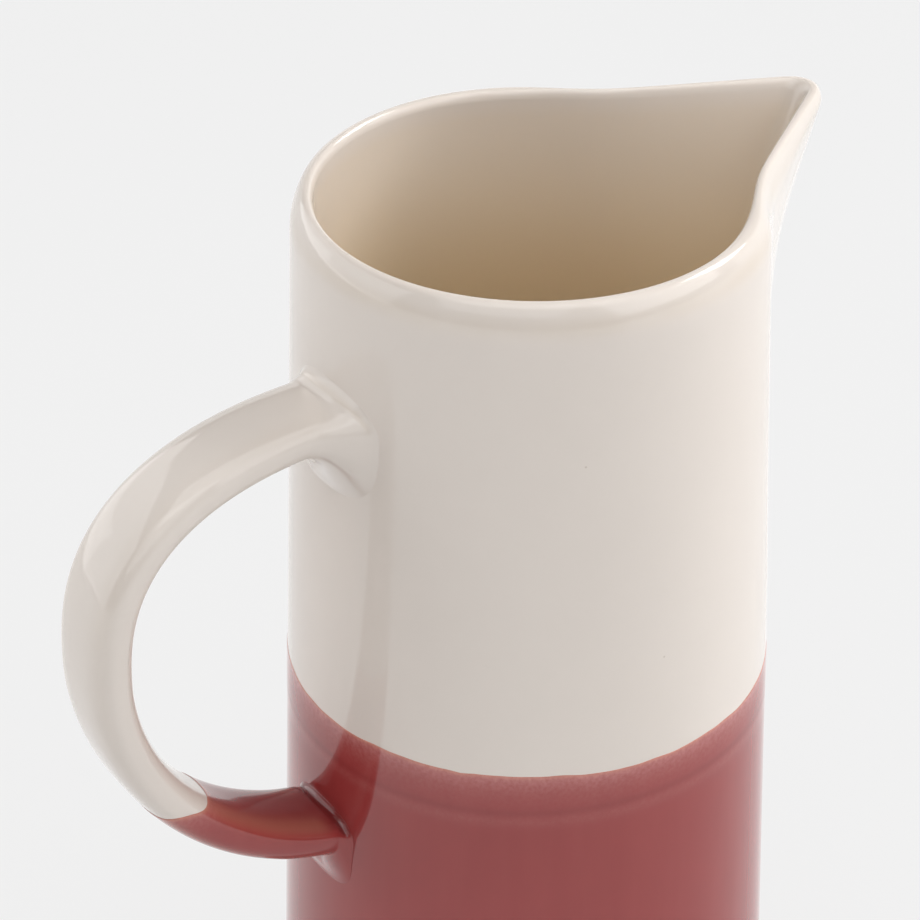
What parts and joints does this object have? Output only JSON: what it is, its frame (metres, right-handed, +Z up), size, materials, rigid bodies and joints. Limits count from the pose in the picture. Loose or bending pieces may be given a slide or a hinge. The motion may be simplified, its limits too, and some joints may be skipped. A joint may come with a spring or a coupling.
{
  "type": "ceramic jug",
  "caption": "Tall tapered ceramic jug with a pulled spout and a strap handle, cream glaze above and a red dip glaze below, for holding and pouring drinks.",
  "frame": {"origin": "on the body's axis, in the plane that the foot ring stands on", "axes": "+Z up along the body's axis, +X towards the tip of the spout, the handle towards -X"},
  "size_m": [0.1907, 0.1114, 0.23],
  "materials": {
    "bare_clay": "unglazed fired stoneware",
    "cream_glaze": "glossy cream glaze",
    "red_glaze": "glossy dusty red glaze"
  },
  "bodies": {
    "root": {"clay_body": "bare_clay", "handle": "bare_clay", "upper_slip_joint": "bare_clay", "lower_slip_joint": "bare_clay", "liner_glaze": "cream_glaze", "cream_glaze": "cream_glaze", "red_glaze": "red_glaze", "handle_cream_glaze": "cream_glaze", "handle_red_glaze": "red_glaze"}
  },
  "joints": []
}
